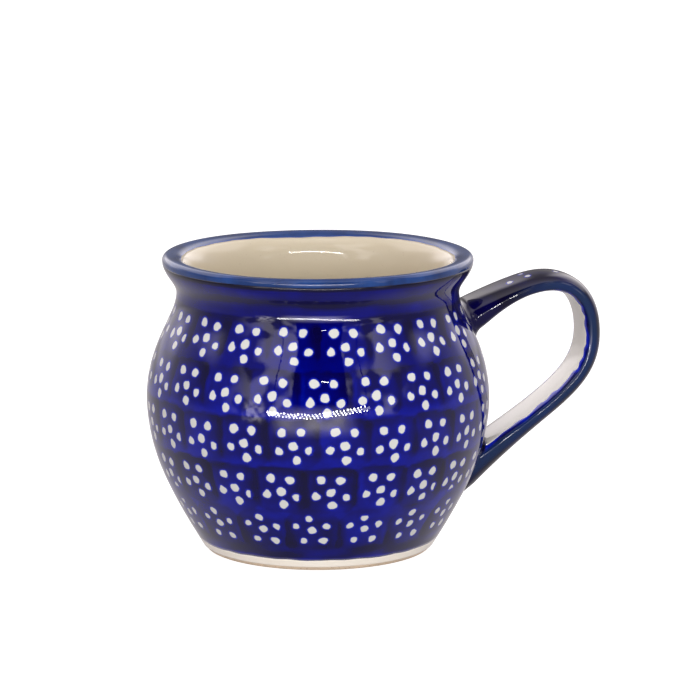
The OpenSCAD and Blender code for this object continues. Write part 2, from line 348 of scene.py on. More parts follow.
def decorate(angle, s):
    """Dot distance and number of cobalt layers for every point of the outer coat."""
    angle, s = np.asarray(angle).ravel(), np.asarray(s).ravel()
    radius = at(s)[0]
    every = stamps()
    dots = np.full(len(s), NO_DOT)
    strongest, total = np.zeros(len(s)), np.zeros(len(s))
    near = []
    for st in every:
        u, v = local(st, angle, s, radius)
        idx = np.where((np.abs(u) < STAMP_REACH) & (np.abs(v) < STAMP_REACH))[0]
        u, v = u[idx], v[idx]
        pad, hole = pad_distance(st, u, v), holes_distance(st, u, v)
        solid = np.maximum(pad, -hole)
        near.append((idx, pad, hole, solid))
        print_here = pad_cover(u, v, pad) * (hole > 0) * pad_tone(st["g"], u, v) * st["body"]
        strongest[idx] = np.maximum(strongest[idx], print_here)
        total[idx] += print_here
    layers = strongest + 0.34 * (total - strongest)
    # another stamp's pad prints over a dot and trims it
    cover = np.full((len(s), 2), NO_DOT)
    owner = np.full((len(s), 2), -1)
    for k, (idx, pad, hole, solid) in enumerate(near):
        better = solid < cover[idx, 0]
        i = idx[better]
        cover[i, 1], owner[i, 1] = cover[i, 0], owner[i, 0]
        cover[i, 0], owner[i, 0] = solid[better], k
        j = idx[~better]
        other = solid[~better]
        second = other < cover[j, 1]
        cover[j[second], 1], owner[j[second], 1] = other[second], k
    for k, (idx, pad, hole, solid) in enumerate(near):
        rival = np.where(owner[idx, 0] == k, cover[idx, 1], cover[idx, 0])
        dots[idx] = np.minimum(dots[idx], np.maximum(np.maximum(hole, -rival), pad + 0.2))
    z = at(s)[1]
    ripple = 0.30 * np.cos(2 * angle + 0.4) + 0.22 * np.cos(5 * angle + 2.0) + 0.15 * np.cos(11 * angle)
    brushed = 1.65 - 0.62 * np.cos((z - 75.7 + ripple) * 2 * math.pi / 5.0) + 1.1 * soft(z, 76.8, 77.8)
    brushed = brushed + 0.22 * np.cos(3 * angle + z / 2) + 0.18 * np.cos(8 * angle - z / 1.5)
    neck_band = soft(z, 66.8, 68.6)
    layers = layers * (1 - neck_band) + neck_band * brushed
    foot_paint = 1.95 + 0.3 * np.cos(5 * angle + z) + 0.25 * np.cos(13 * angle - z)
    foot_paint = foot_paint - 1.1 * soft(4.3 - z, 0, 0.9)
    low_band = soft(8.4 - z, 0, 2.2)
    layers = layers * (1 - low_band) + low_band * foot_paint
    layers = np.maximum(layers, 1.18 + 0.40 * soft(z, 50, 56))
    return dots, layers


# ---------------------------------------------------------------- node tools
def material(name):
    m = bpy.data.materials.new(name)
    m.use_nodes = True
    tree = m.node_tree
    return m, tree, tree.nodes["Principled BSDF"]


def add(tree, kind, **values):
    node = tree.nodes.new(kind)
    for key, value in values.items():
        setattr(node, key, value)
    return node


def link(tree, a, b):
    tree.links.new(a, b)


def noise(tree, scale, detail=3.0, rough=0.5, stretch=None):
    coords = add(tree, "ShaderNodeTexCoord")
    source = coords.outputs["Object"]
    if stretch:
        mapping = add(tree, "ShaderNodeMapping")
        mapping.inputs["Scale"].default_value = stretch
        link(tree, source, mapping.inputs["Vector"])
        source = mapping.outputs["Vector"]
    n = add(tree, "ShaderNodeTexNoise")
    n.inputs["Scale"].default_value = scale
    n.inputs["Detail"].default_value = detail
    n.inputs["Roughness"].default_value = rough
    link(tree, source, n.inputs["Vector"])
    return n.outputs["Fac"]


def noise_at(tree, vector, scale):
    n = add(tree, "ShaderNodeTexNoise")
    n.inputs["Scale"].default_value = scale
    n.inputs["Detail"].default_value = 0.5
    link(tree, vector, n.inputs["Vector"])
    return n.outputs["Fac"]


def field(tree, name):
    return add(tree, "ShaderNodeAttribute", attribute_name=name).outputs["Fac"]


def remap(tree, value, lo, hi, to_lo=0.0, to_hi=1.0, smooth=False):
    n = add(tree, "ShaderNodeMapRange")
    n.interpolation_type = "SMOOTHSTEP" if smooth else "LINEAR"
    for key, v in (("From Min", lo), ("From Max", hi), ("To Min", to_lo), ("To Max", to_hi)):
        n.inputs[key].default_value = v
    link(tree, value, n.inputs["Value"])
    return n.outputs["Result"]


def math_node(tree, op, a, b):
    n = add(tree, "ShaderNodeMath", operation=op)
    for socket, v in zip(n.inputs, (a, b)):
        if isinstance(v, (int, float)):
            socket.default_value = v
        else:
            link(tree, v, socket)
    return n.outputs[0]


def mix(tree, factor, a, b, blend="MIX"):
    n = add(tree, "ShaderNodeMix", data_type="RGBA", blend_type=blend)
    for socket, v in ((n.inputs[0], factor), (n.inputs[6], a), (n.inputs[7], b)):
        if isinstance(v, (int, float)):
            socket.default_value = v
        elif isinstance(v, tuple):
            socket.default_value = (*v, 1.0)
        else:
            link(tree, v, socket)
    return n.outputs[2]


def ramp(tree, value, stops):
    n = add(tree, "ShaderNodeValToRGB")
    e = n.color_ramp.elements
    while len(e) < len(stops):
        e.new(0.5)
    for item, (pos, colour) in zip(e, stops):
        item.position = pos
        item.color = (*colour, 1.0)
    link(tree, value, n.inputs["Fac"])
    return n.outputs["Color"]


def bump(tree, shader, height, distance, strength=1.0):
    n = add(tree, "ShaderNodeBump")
    n.inputs["Strength"].default_value = strength
    n.inputs["Distance"].default_value = distance
    link(tree, height, n.inputs["Height"])
    link(tree, n.outputs["Normal"], shader.inputs["Normal"])


def glaze_surface(tree, shader, rough=0.05, peel=0.00002):
    """The gloss that every fired coat shares: slightly uneven polish and faint ripples."""
    shader.inputs["IOR"].default_value = 1.5
    polish = remap(tree, noise(tree, 90, 2), 0.3, 0.7, rough * 0.8, rough * 1.3)
    link(tree, polish, shader.inputs["Roughness"])
    bump(tree, shader, noise(tree, 260, 3, 0.55), peel)


# the inside liner's cream: the glaze's own cream, darkened and made warmer by painted shade for the inside of
# the cup
CREAM_WITH_PAINTED_SHADE = (0.60, 0.53, 0.405)
DOT = (0.55, 0.556, 0.532)
DEEPEST = 3.4  # layers of cobalt at the last colour stop
COBALT_STEPS = [
    (0.15, (0.0008, 0.0100, 0.38)),
    (0.28, (0.0004, 0.0040, 0.25)),
    (0.44, (0.0004, 0.0010, 0.125)),
    (0.62, (0.0014, 0.0008, 0.048)),
    (0.90, (0.0022, 0.0012, 0.014)),
]


def cobalt_colour(tree, layers):
    """Blue that darkens and turns purple-black as more layers lie over each other."""
    mottle = remap(tree, noise(tree, 240, 4, 0.6), 0.3, 0.7, -0.10, 0.10)
    cloud = remap(tree, noise(tree, 110, 3), 0.3, 0.7, -0.22, 0.22)
    depth = math_node(tree, "ADD", math_node(tree, "ADD", layers, mottle), cloud)
    return ramp(tree, math_node(tree, "DIVIDE", depth, DEEPEST), COBALT_STEPS)


def dotted(tree, base, distance):
    """Pale dots with a bright blue halo where the colour bleeds into the glaze."""
    rough_edge = math_node(tree, "ADD", distance, remap(tree, noise(tree, 900, 2), 0.3, 0.7, -0.07, 0.07))
    halo = remap(tree, rough_edge, 0.05, 0.62, 1.0, 0.0, True)
    ringed = mix(tree, math_node(tree, "MULTIPLY", halo, 0.8), base, (0.004, 0.012, 0.36))
    inside = remap(tree, rough_edge, -0.16, 0.12, 1.0, 0.0, True)
    speck = remap(tree, noise(tree, 700, 3), 0.3, 0.75, 0.0, 0.2)
    cream = mix(tree, speck, DOT, (0.50, 0.47, 0.42))
    return mix(tree, inside, ringed, cream)


def cobalt_material(name):
    m, tree, shader = material(name)
    glaze = mix(tree, field(tree, "worn"), cobalt_colour(tree, field(tree, "layers")), (0.009, 0.030, 0.095))
    colour = dotted(tree, glaze, field(tree, "dots"))
    link(tree, colour, shader.inputs["Base Color"])
    glaze_surface(tree, shader, 0.02)
    return m


# the default tint is the inside cream, which holds painted shade for the inside of the cup
def cream_material(name, tint=CREAM_WITH_PAINTED_SHADE, speckle=0.35):
    m, tree, shader = material(name)
    cloud = remap(tree, noise(tree, 35, 3), 0.3, 0.7, 0.0, 0.5)
    warm = mix(tree, cloud, tint, tuple(v * k for v, k in zip(tint, (0.95, 0.93, 0.89))))
    specks = remap(tree, noise(tree, 1500, 2, 0.6), 0.66, 0.74, 0.0, speckle)
    link(tree, mix(tree, specks, warm, (0.42, 0.33, 0.24)), shader.inputs["Base Color"])
    glaze_surface(tree, shader, 0.06)
    return m


def rim_material(name):
    m, tree, shader = material(name)
    streak = noise(tree, 120, 4, 0.6, (1, 1, 0.35))
    wash = ramp(tree, remap(tree, streak, 0.3, 0.7), [
        (0.0, (0.007, 0.021, 0.090)), (0.5, (0.009, 0.034, 0.140)), (1.0, (0.014, 0.052, 0.20))])
    thin = mix(tree, field(tree, "thin"), wash, (0.015, 0.06, 0.30))
    link(tree, thin, shader.inputs["Base Color"])
    glaze_surface(tree, shader, 0.04)
    return m


def clay_material(name, tint=(0.56, 0.43, 0.31)):
    m, tree, shader = material(name)
    grain = noise(tree, 900, 5, 0.65)
    cloud = noise(tree, 60, 3)
    toned = ramp(tree, cloud, [(0.35, tuple(v * 0.86 for v in tint)), (0.65, tint)])
    specks = remap(tree, noise(tree, 1300, 2), 0.64, 0.7, 0.0, 0.7)
    link(tree, mix(tree, specks, toned, (0.16, 0.1, 0.06)), shader.inputs["Base Color"])
    shader.inputs["Roughness"].default_value = 0.82
    bump(tree, shader, grain, 0.00012, 0.6)
    return m


# ---------------------------------------------------------------- cup pieces
COLS, RIM_COLS, BODY_COLS = 540, 270, 240
THINNED = slice(None, None, COLS // RIM_COLS)  # every other column, for the coats without a stamped pattern
CLAY_GAP, RECESS_GAP = 0.02, 0.01  # between the back of a coat and the clay drawn under it
INNER_END = TOTAL - 0.8  # where the liner and the clay close over the middle of the inside floor
foot_line, wash_line, wash_end = 3.2, 78.2, 36.9  # two heights outside, and a radius inside the lip
a_fine, a_body = angles(COLS), angles(BODY_COLS)
s_cobalt = s_of_height(foot_line) + waves(a_fine, (1, 2, 3, 5, 8), 0.16, 5)
s_cobalt = s_cobalt + waves(a_fine, (13, 21, 34), 0.05, 6)
s_rim = s_of_height(wash_line) + waves(a_fine, (1, 2, 4, 7), 0.1, 7)
after_crest = along > crest
s_liner = float(np.interp(-wash_end, -outline[after_crest][:60, 0], along[after_crest][:60]))
s_liner = s_liner + waves(a_fine, (2, 3, 5, 9), 0.16, 8) + waves(a_fine, (17, 29), 0.05, 9)
recess_edge = ring_radius - 1.6
recess_line = np.array([
    [0.5, recess_depth + 0.4],
    [recess_edge / 2, recess_depth + 0.32],
    [recess_edge, recess_depth],
])


def rows_for(fine_from, fine_to, fine, total0, total1, coarse):
    """Row shares of a coat: close together over the stamped band, wider elsewhere."""
    low = np.arange(total0, fine_from, coarse)
    mid = np.arange(fine_from, fine_to, fine)
    high = np.arange(fine_to, total1, coarse)
    s = np.concatenate([low, mid, high, [total1]])
    return (s - total0) / (total1 - total0)


def revolved(line):
    """Rings of points for a line of radii and heights turned round the axis."""
    radii, heights = line[:, :1], line[:, 1:]
    return np.stack([radii * np.cos(a_body), radii * np.sin(a_body), np.repeat(heights, BODY_COLS, 1)], -1)


def surfaced(obj, surface):
    obj.data.materials.append(surface)
    return obj


def cobalt_coat():
    """The stamped outer coat, from the foot line to the line under the lip."""
    start, end = float(s_cobalt.mean()), float(s_rim.mean())
    share = rows_for(start + 0.9, s_of_height(70.5), 0.58, start, end, 0.8)
    pts, faces, front, ang = coat_shell(s_cobalt, s_rim, share, COLS, 36)
    dots, layers = decorate(ang, front)
    behind = len(pts) - len(dots)
    coat_obj = make("cobalt_coat", pts, faces, {
        "dots": np.concatenate([dots, np.full(behind, NO_DOT)]),
        "layers": np.concatenate([layers, np.full(behind, 1.5)]),
        "worn": np.zeros(len(pts)),
    })
    return surfaced(coat_obj, cobalt_material("cobalt_glaze"))


def rim_coat():
    """The wash over the lip, thinner towards its edge inside."""
    edge, fade = s_liner[THINNED], 0.9
    pts, faces, front, _ = coat_shell(s_rim[THINNED], edge, np.linspace(0, 1, 60), RIM_COLS, 24)
    thin = np.clip((front - (edge - fade)) / fade, 0, 1) ** 2
    field_values = np.concatenate([thin.ravel(), np.zeros(len(pts) - thin.size)])
    return surfaced(make("rim_wash", pts, faces, {"thin": field_values}), rim_material("rim_wash"))


def foot_coat():
    """The clear coat on the foot band, from the foot's edge up to the cobalt."""
    pts, faces, _, _ = coat_shell(0.0, s_cobalt[THINNED], np.linspace(0, 1, 10), RIM_COLS, 5)
    surface = cream_material("foot_clear_glaze", (0.81, 0.75, 0.665), 0.3)
    return surfaced(make("foot_clear_coat", pts, faces), surface)


def liner_coat():
    """The cream coat inside: skin from the wash's edge to the floor's centre, and back under it."""
    edge, a_liner = s_liner[THINNED], angles(RIM_COLS)
    t_skin, t_back = np.linspace(0, 1, 130)[:, None], np.linspace(0, 1, 60)[:, None]
    skin_s = edge * (1 - t_skin) + INNER_END * t_skin
    back_s = edge * (1 - t_back) + INNER_END * t_back
    top = ring_points(skin_s, a_liner, 0 * skin_s)[::-1]
    under = ring_points(back_s, a_liner, coat + 0 * back_s)
    pts, faces = capped(np.concatenate([top, under]), RIM_COLS)
    # the liner takes the default cream, darkened with painted shade for the inside of the cup
    return surfaced(make("cream_liner", pts, faces), cream_material("liner_glaze"))


def clay_body():
    """The thrown clay: underside, foot ring, then the clay face under every coat."""
    arc = np.radians(np.linspace(-90, -22.5, 8))
    ring_edge = [[ring_radius - 0.25, 0.25], [ring_radius, 0.0], [ring_radius + 0.4, 0.0]]
    rounded = np.array([foot_radius - foot_edge, foot_edge]) + foot_edge * np.c_[np.cos(arc), np.sin(arc)]
    under_line = np.vstack([recess_line + (0, coat), recess_line[-1:], ring_edge, rounded, [list(at(0.0))]])
    clay_s = np.repeat(np.linspace(0, INNER_END, 150)[:, None], BODY_COLS, 1)
    clay_rings = ring_points(clay_s, a_body, coat + CLAY_GAP + 0 * clay_s)
    pts, faces = capped(np.concatenate([revolved(under_line), clay_rings]), BODY_COLS)
    return surfaced(make("thrown_body", pts, faces), clay_material("bare_stoneware"))


def recess_coat():
    """The clear coat in the turned recess underneath."""
    back_line = recess_line + (0, coat) - (0, RECESS_GAP)
    pts, faces = capped(revolved(np.vstack([recess_line, back_line[::-1]])), BODY_COLS)
    surface = cream_material("underside_glaze", (0.74, 0.66, 0.55), 0.5)
    return surfaced(make("underside_clear_coat", pts, faces), surface)


cobalt = cobalt_coat()
rim = rim_coat()
foot = foot_coat()
liner = liner_coat()
body = clay_body()
recess = recess_coat()

# ---------------------------------------------------------------- handle
root_radius, upper_root_height, lower_root_height = 40.0, 59.0, 19.2
root_angle, root_pull = math.radians(37), 30.0
reach, reach_height, pull_up, pull_down = 76.1, 55.5, 15.0, 13.5
strap_width, crown, belly = 14.5, 3.25, 2.0
SEAT_DEPTH = 0.16  # how far the fillets' edges are sunk into the cup's skin
out = root_pull * np.array([math.cos(root_angle), math.sin(root_angle)])
upper_root = np.array([root_radius, upper_root_height])
lower_root = np.array([root_radius, lower_root_height])
far = np.array([reach, reach_height])
UPPER = [upper_root, upper_root + out, far + (0, pull_up), far]
LOWER = [far, far - (0, pull_down), lower_root + out, lower_root]


def spine(u):
    """The handle's centre line, seen from the side: 0 to 1 is its upper half and 1 to 2 its lower one."""
    u = np.asarray(u, float)
    upper_half, lower_half = cubic(UPPER, np.clip(u, 0, 1)), cubic(LOWER, np.clip(u - 1, 0, 1))
    mid = np.where((u < 1)[..., None], upper_half, lower_half)
    mid = mid + np.minimum(u, 0)[..., None] * cubic_rate(UPPER, 0.0)
    return mid + np.maximum(u - 2, 0)[..., None] * cubic_rate(LOWER, 1.0)


def spine_dir(u):
    """Unit vector along that centre line."""
    u = np.asarray(u, float)
    upper_half, lower_half = cubic_rate(UPPER, np.clip(u, 0, 1)), cubic_rate(LOWER, np.clip(u - 1, 0, 1))
    d = np.where((u < 1)[..., None], upper_half, lower_half)
    return d / np.linalg.norm(d, axis=-1, keepdims=True)


def swell(u):
    """How much thicker the strap grows towards its two roots."""
    return 1 + np.clip(1 - u / 0.29, 0, 1) ** 2 + 0.7 * np.clip((u - 1.6) / 0.4, 0, 1) ** 2


def blunt(x, power):
    """A signed power, which squares off a round section."""
    return np.sign(x) * np.abs(x) ** power


def strap_point(u, a, extra):
    """A point of the strap at a place along it and an angle round its section, moved out by extra."""
    c, d = spine(u), spine_dir(u)
    half = (strap_width + np.clip(1 - u, 0, 1) + 1.5 * np.clip(u - 1, 0, 1)) / 2
    across = (half + extra) * blunt(np.cos(a), 0.8)
    s = np.sin(a)
    outer, inner = (crown * swell(u) + extra) * blunt(s, 0.9), (belly * swell(u) + extra) * blunt(s, 0.6)
    lift = np.where(s > 0, outer, inner)
    return np.stack([c[..., 0] - d[..., 1] * lift, across, c[..., 1] + d[..., 0] * lift], -1)


def pierce(a, within, beyond):
    """Where along the strap its skin passes through the cup's wall, found by halving."""
    within, beyond = np.full_like(a, within), np.full_like(a, beyond)
    for _ in range(22):
        m = (within + beyond) / 2
        p = strap_point(m, a, 0.0)
        inside = np.hypot(p[..., 0], p[..., 1]) < wall_radius(p[..., 2])
        within, beyond = np.where(inside, m, within), np.where(inside, beyond, m)
    return (within + beyond) / 2


def rise(r, d):
    """How far a fillet of radius r stands out at distance d from the wall."""
    return np.where(d < r, r - np.sqrt(np.maximum(r * r - (r - d) ** 2, 0)), 0)


def fillet(a, crown_r, side_r, belly_r):
    """The fillet's radius at an angle round the section."""
    return side_r * np.cos(a) ** 2 + np.where(np.sin(a) > 0, crown_r, belly_r) * np.sin(a) ** 2


def seat_shift(a, pierced, r, extra):
    """The move along x that sinks a fillet's edge into the cup's skin."""
    foot_p = strap_point(pierced, a, r + extra)
    x = np.sqrt((wall_radius(foot_p[..., 2]) - SEAT_DEPTH + np.minimum(extra, 0)) ** 2 - foot_p[..., 1] ** 2)
    return x - foot_p[..., 0]


def handle_surface(q, a, extra):
    """Points of the handle: q runs from the upper wall (0) to the lower wall (1)."""
    first, last = pierce(a, -0.12, 0.13), pierce(a, 2.2, 1.7)
    u = first + (last - first) * q
    top_r, low_r = fillet(a, 1.8, 2.8, 3.2), fillet(a, 0.8, 2.6, 1.2)
    d_top = np.linalg.norm(spine(u) - spine(first), axis=-1)
    d_low = np.linalg.norm(spine(u) - spine(last), axis=-1)
    p = strap_point(u, a, rise(top_r, d_top) + rise(low_r, d_low) + extra)
    p[..., 0] += seat_shift(a, first, top_r, extra) * np.clip(1 - d_top / (2 * top_r), 0, 1) ** 2
    p[..., 0] += seat_shift(a, last, low_r, extra) * np.clip(1 - d_low / (2 * low_r), 0, 1) ** 2
    return p


def painted_edge(seed):
    """A brush line's wander along the handle, in radians around its section."""
    t = q_line * 2 * math.pi
    slow, quick = waves(t, (1.7, 3.1, 5.3), 0.04, seed), waves(t, (9, 14, 19), 0.06, seed + 1)
    return slow + quick + waves(t, (27, 41), 0.03, seed + 2)


H_ROWS, H_COLS = 260, 96
near_end = 1 - np.cos(np.linspace(0, math.pi / 2, 26)[:-1])
q_line = np.concatenate([near_end * 0.06, np.linspace(0.06, 0.95, H_ROWS - 50), 1 - near_end[::-1] * 0.05])
n_rows = len(q_line)
# the cream strip's columns and rows, and the angles of its two painted edges
c0, c1 = int(H_COLS * 0.63), int(H_COLS * 0.87)
LINER_ROWS = (22, n_rows - 16)
edge_lo = np.radians(226) + painted_edge(21)
edge_hi = np.radians(314) + painted_edge(24)


def section_angles():
    """Angles round the section for every row, with one column on each painted edge of the cream strip."""
    angle = np.zeros((n_rows, H_COLS))
    for i, (lo, hi) in enumerate(zip(edge_lo, edge_hi)):
        angle[i, c0 : c1 + 1] = np.linspace(lo, hi, c1 - c0 + 1)
        outer = np.linspace(hi, lo + 2 * math.pi, H_COLS - (c1 - c0) + 1)
        angle[i, c1:] = outer[: H_COLS - c1]
        angle[i, :c0] = outer[H_COLS - c1 : -1] - 2 * math.pi
    return angle


th = section_angles()
qq = np.repeat(q_line[:, None], H_COLS, 1)
skin_pts, clay_pts = handle_surface(qq, th, 0 * th), handle_surface(qq, th, 0 * th - coat)
is_liner = np.zeros((n_rows - 1, H_COLS), bool)
is_liner[LINER_ROWS[0] : LINER_ROWS[1], c0:c1] = True


def layer(name, cells, fields):
    """A closed coat over the marked cells of the handle's grid."""

    def marked(i, k):
        return 0 <= i < n_rows - 1 and cells[i, k % H_COLS]

    n = n_rows * H_COLS
    faces = []
    for i, k in zip(*np.where(cells)):
        a, b = i * H_COLS + k, i * H_COLS + (k + 1) % H_COLS
        c, d = (i + 1) * H_COLS + (k + 1) % H_COLS, (i + 1) * H_COLS + k
        faces += [[a, b, c, d], [n + a, n + d, n + c, n + b]]
        sides = ((i, k - 1, d, a), (i, k + 1, b, c), (i - 1, k, a, b), (i + 1, k, c, d))
        for row, col, x, y in sides:
            if not marked(row, col):
                faces.append([y, x, n + x, n + y])
    faces = np.array(faces)
    used, flat = np.unique(faces, return_inverse=True)
    pts = np.concatenate([skin_pts.reshape(-1, 3), clay_pts.reshape(-1, 3)])[used]
    fields = {key: np.concatenate([v.ravel(), v.ravel()])[used] for key, v in fields.items()}
    return make(name, pts, flat.reshape(-1, 4).tolist(), fields)


# where each point of the handle's skin lies: along it and across it, in millimetres
strides = np.linalg.norm(np.diff(skin_pts[:, H_COLS // 4], axis=0), axis=-1)
spine_mm = np.concatenate([[0], np.cumsum(strides)])
run_mm = np.repeat(spine_mm[:, None], H_COLS, 1)
across_mm = skin_pts[..., 1]
# dots dabbed along the outer face: place along the handle, place across it and radius
DABS = [(17.1, -3.0, 0.78), (22.8, -3.0, 0.80), (21.8, 0.6, 0.66), (18.8, 4.2, 0.80)]
DAB_ROWS, DAB_PITCH = 5, 15.5
for k in range(DAB_ROWS):
    step = DAB_PITCH * k
    DABS += [(32.6 + step, -1.9, 0.75), (34.8 + step, 2.4, 0.80), (39.0 + step, 0.4, 0.75)]


def dab_distance():
    """Distance to the nearest dabbed dot, over the outer face only."""
    nearest = np.full(across_mm.shape, NO_DOT)
    for k, (place, sideways, radius) in enumerate(DABS):
        g = np.random.default_rng(60 + k).uniform(0, 2 * math.pi, 3)
        d = blob(across_mm, run_mm, (sideways, place, radius, g[0], 0.12), g)
        nearest = np.where(np.sin(th) > 0, np.minimum(nearest, d), nearest)
    return nearest


def handle_paint():
    """Layers of cobalt on the handle, fewest along the painted edges of the cream strip."""
    clouds = 0.35 * np.cos(run_mm / 5.5) * np.cos(across_mm / 2.2 + 0.6)
    paint = 2.75 + clouds + 0.25 * np.cos(run_mm / 2.3 + across_mm)
    to_edge = np.minimum(np.abs(th - edge_lo[:, None]), np.abs(th - edge_hi[:, None]))
    beside_strip = np.zeros(th.shape)
    beside_strip[LINER_ROWS[0] : LINER_ROWS[1] + 1] = 1
    return paint - 2.5 * beside_strip * np.exp(-((to_edge / 0.40) ** 2))


def corner_wear():
    """How far the glaze has run thin along the strap's two side edges."""
    most, width = 0.6, 0.07
    return most * np.exp(-(((np.abs(np.cos(th)) - 1) / width) ** 2)) * soft(run_mm, 12, 34)


def handle_coat():
    """The cobalt coat over the handle and its roots."""
    fields = {"dots": dab_distance(), "layers": handle_paint(), "worn": corner_wear()}
    return surfaced(layer("handle_cobalt_coat", ~is_liner, fields), cobalt_material("handle_cobalt_glaze"))


def grip_coat():
    """The cream coat along the handle's inner face."""
    surface = cream_material("handle_liner_glaze", (0.61, 0.585, 0.53), 0.25)
    return surfaced(layer("handle_cream_coat", is_liner, {}), surface)


def clay_core(name, first, last):
    """The handle's clay between two of its rows, just under the coats."""
    picked = slice(first, last)
    core_th = th[picked, ::2]
    core_pts = handle_surface(qq[picked, ::2], core_th, -coat - CLAY_GAP + 0 * core_th)
    pts, faces = capped(core_pts[::-1], H_COLS // 2)
    return surfaced(make(name, pts, faces), clay_under)


handle = handle_coat()
grip = grip_coat()
clay_under = clay_material("handle_stoneware", (0.60, 0.49, 0.38))
upper = clay_core("upper_root_clay", 0, LINER_ROWS[0] + 1)
strap = clay_core("strap_clay", LINER_ROWS[0], LINER_ROWS[1] + 1)
lower = clay_core("lower_root_clay", LINER_ROWS[1], n_rows)

for piece, node, slot in (
    (cobalt, "cobalt_glaze", "cobalt_glaze"),
    (rim, "rim_glaze", "rim_wash"),
    (foot, "foot_glaze", "clear_glaze"),
    (liner, "liner_glaze", "cream_glaze"),
    (body, "stoneware_body", "bare_stoneware"),
    (recess, "underside_glaze", "clear_glaze"),
    (handle, "handle_cobalt_glaze", "handle_cobalt_glaze"),
    (grip, "handle_liner_glaze", "cream_glaze"),
    (strap, "handle_strap", "handle_stoneware"),
    (upper, "upper_root", "handle_stoneware"),
    (lower, "lower_root", "handle_stoneware"),
):
    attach(piece, "root")
    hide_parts(node)

# ---------------------------------------------------------------- stage and light
def pale_floor():
    """A plain pale floor. It shows to the camera only, so it neither lights nor shades the cup."""
    half, tone, glow = 4.0, 0.35, 0.88
    corners = [(-half, -half, 0), (half, -half, 0), (half, half, 0), (-half, half, 0)]
    mesh = bpy.data.meshes.new("floor")
    mesh.from_pydata(corners, [], [(0, 1, 2, 3)])
    floor = bpy.data.objects.new("floor", mesh)
    scene.collection.objects.link(floor)
    surface, _, shader = material("floor_white")
    shader.inputs["Base Color"].default_value = (tone, tone, tone, 1)
    shader.inputs["Roughness"].default_value = 0.9
    shader.inputs["Emission Color"].default_value = (1, 1, 1, 1)
    shader.inputs["Emission Strength"].default_value = glow
    mesh.materials.append(surface)
    floor.visible_glossy = floor.visible_diffuse = floor.visible_shadow = False


# how bright each part of the tent is
WALL_FRONT, WALL_BACK, DIRECTLY_BEHIND = 0.25, 1.1, 0.18  # the last is a share of the wall's brightness
HIGH_SIDE_WALL, BACK_WALL = 2.1, 2.4
CEILING_FRONT, CEILING_BACK = 1.4, 0.45
GROUND_FRONT, GROUND_BACK = 0.30, 0.65
DRAPE_DARK, DRAPE_LIGHT, SEAM = 0.25, 2.1, 0.02
SILL_DARK, SILL_LIGHT = 2.4, 4.2
FOLD_DARK, FOLD_LIGHT = 1.0, 5.0
OPENING_TURN = 0.03  # radians from straight in front to the middle of the opening


def tent():
    """A light tent: dim cloth walls, brighter behind the cup, and a dark opening in front."""
    world = bpy.data.worlds.new("tent")
    scene.world = world
    world.use_nodes = True
    tree = world.node_tree
    coords = add(tree, "ShaderNodeTexCoord")
    spin = add(tree, "ShaderNodeMapping")
    spin.inputs["Rotation"].default_value = (0, 0, turn)
    link(tree, coords.outputs["Generated"], spin.inputs["Vector"])
    axes = add(tree, "ShaderNodeSeparateXYZ")
    link(tree, spin.outputs["Vector"], axes.inputs[0])
    right, away, rise_sine = axes.outputs
    azimuth = math_node(tree, "ARCTAN2", right, math_node(tree, "MULTIPLY", away, -1.0))
    beside = math_node(tree, "ABSOLUTE", math_node(tree, "SUBTRACT", azimuth, OPENING_TURN), 0.0)
    around = math_node(tree, "ABSOLUTE", azimuth, 0.0)
    rise_angle = math_node(tree, "ARCSINE", rise_sine, 0.0)

    def between(value, lo, hi, edge):
        """1 where the value lies between two angles in degrees, with soft edges."""
        up_edge = remap(tree, value, math.radians(lo - edge), math.radians(lo + edge), smooth=True)
        down_edge = remap(tree, value, math.radians(hi - edge), math.radians(hi + edge), 1.0, 0.0, True)
        return math_node(tree, "MULTIPLY", up_edge, down_edge)

    def both(a, b):
        return math_node(tree, "MULTIPLY", a, b)

    def blend(level, mask, other):
        n = add(tree, "ShaderNodeMix", data_type="FLOAT")
        for socket, v in ((n.inputs[0], mask), (n.inputs[2], level), (n.inputs[3], other)):
            if isinstance(v, (int, float)):
                socket.default_value = v
            else:
                link(tree, v, socket)
        return n.outputs[0]

    wall = remap(tree, around, 1.5, 2.5, WALL_FRONT, WALL_BACK, True)
    wall = blend(wall, both(between(around, 84, 180, 8), between(rise_angle, 24, 60, 5)), HIGH_SIDE_WALL)
    wall = blend(wall, both(between(around, 128, 180, 9), between(rise_angle, 8, 60, 4)), BACK_WALL)
    wall = both(wall, remap(tree, around, 2.8, 3.08, 1.0, DIRECTLY_BEHIND, True))
    ceiling = remap(tree, away, -0.6, 0.5, CEILING_FRONT, CEILING_BACK, True)
    folds = noise_at(tree, spin.outputs["Vector"], 5.0)
    drape = remap(tree, folds, 0.45, 0.62, DRAPE_DARK, DRAPE_LIGHT, True)
    ground = remap(tree, around, 0.9, 2.3, GROUND_FRONT, GROUND_BACK, True)
    above = between(rise_angle, 0, 50, 3)
    level = blend(wall, between(rise_angle, 52, 100, 12), ceiling)
    level = blend(level, both(between(beside, -40, 58, 14), above), drape)
    level = blend(level, both(between(beside, -40, 19, 1.0), above), 0.0)
    level = blend(level, both(between(beside, 31.2, 32.0, 0.25), above), SEAM)
    level = blend(level, between(rise_angle, -95, -2, 2), ground)
    # the lit sill under the lamps, and a crumpled fold of cloth at its left end
    sill = both(between(azimuth, -25, 21, 8), between(rise_angle, -13, 5, 6))
    level = blend(level, sill, remap(tree, folds, 0.3, 0.7, SILL_DARK, SILL_LIGHT))
    fold = both(between(azimuth, -49, -36, 3), between(rise_angle, -5, 8, 4))
    creases = noise_at(tree, spin.outputs["Vector"], 16.0)
    level = blend(level, fold, remap(tree, creases, 0.35, 0.65, FOLD_DARK, FOLD_LIGHT))
    background = tree.nodes["Background"]
    background.inputs["Color"].default_value = (1.0, 0.94, 0.95, 1)
    link(tree, level, background.inputs["Strength"])


